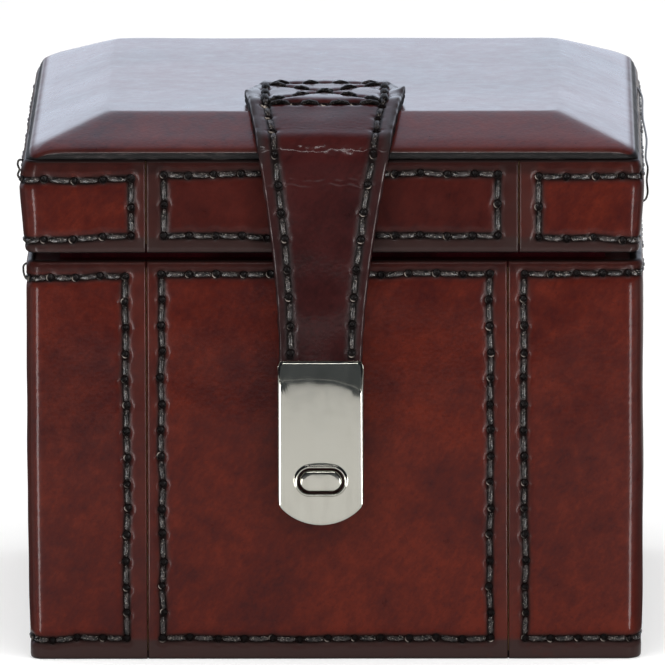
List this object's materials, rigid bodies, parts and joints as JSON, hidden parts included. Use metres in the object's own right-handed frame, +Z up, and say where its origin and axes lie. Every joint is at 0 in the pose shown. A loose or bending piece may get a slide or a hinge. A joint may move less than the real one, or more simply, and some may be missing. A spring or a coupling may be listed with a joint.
{
  "type": "pocket watch display box",
  "caption": "Leather covered box with a bevelled hinged lid, a strap with a hasp and push button, and a lift-out cushion for a pocket watch.",
  "frame": {"origin": "on the table, under the centre of the body", "axes": "+Z up, front with the strap and hasp towards -Y, +X to the right seen from the front"},
  "size_m": [0.1, 0.1085, 0.0899],
  "materials": {
    "chestnut_leather": "glossy, hand stained",
    "strap_leather": "glossy, hand stained",
    "dyed_leather": "matt black dye",
    "waxed_thread": "waxed linen thread",
    "board": "raw",
    "velvet": "short pile",
    "satin": "satin weave",
    "nickel": "polished nickel plate",
    "steel": "bright wire"
  },
  "bodies": {
    "base": {"base_cover": "dyed_leather", "floor_board": "board", "front_board": "board", "back_board": "board", "left_board": "board", "right_board": "board", "body_rim": "chestnut_leather", "front_panel": "chestnut_leather", "back_panel": "chestnut_leather", "left_wrap": "chestnut_leather", "right_wrap": "chestnut_leather", "liner_front": "velvet", "liner_back": "velvet", "liner_left": "velvet", "liner_right": "velvet", "floor_liner": "velvet", "insert_rails": "board", "catch_plate": "nickel", "catch_case": "steel", "catch_screws": "nickel", "button_spring": "steel", "hinge_body_leaves": "nickel", "hinge_pins": "steel", "hinge_body_screws": "nickel"},
    "lid": {"lid_front_board": "board", "lid_back_board": "board", "lid_left_board": "board", "lid_right_board": "board", "lid_top_board": "board", "lid_top_leather": "chestnut_leather", "lid_front_panel": "chestnut_leather", "lid_back_panel": "chestnut_leather", "lid_left_wrap": "chestnut_leather", "lid_right_wrap": "chestnut_leather", "lid_rim": "chestnut_leather", "lid_pad": "velvet", "lid_side_lining": "velvet", "hinge_lid_leaves": "nickel", "hinge_lid_screws": "nickel", "strap_anchor": "strap_leather"},
    "strap": {"strap_tail": "strap_leather", "strap_backing": "strap_leather", "hasp_plate": "nickel", "hasp_back_plate": "nickel", "hasp_rivets": "nickel"},
    "button": {"catch_button": "nickel"},
    "insert": {"insert_board": "board", "watch_cushion": "velvet", "bed_pad": "satin", "ribbon_pull": "satin"}
  },
  "joints": [
    {"name": "lid_hinge", "type": "hinge", "parent": "base", "child": "lid", "pos_m": [0, 0.0518, 0.0661], "axis": [-1, 0, 0], "range_deg": [0, 95]},
    {"name": "strap_flex", "type": "hinge", "parent": "lid", "child": "strap", "pos_m": [0, -0.0517, 0.08352], "axis": [-1, 0, 0], "range_deg": [0, 90]},
    {"name": "button_press", "type": "slide", "parent": "base", "child": "button", "axis": [0, 1, 0], "range_m": [0, 0.0015], "stiffness_N_per_m": 400, "springref_m": -0.001, "deforming": ["button_spring"]},
    {"name": "insert_lift", "type": "slide", "parent": "base", "child": "insert", "axis": [0, 0, 1], "range_m": [0, 0.018]}
  ]
}
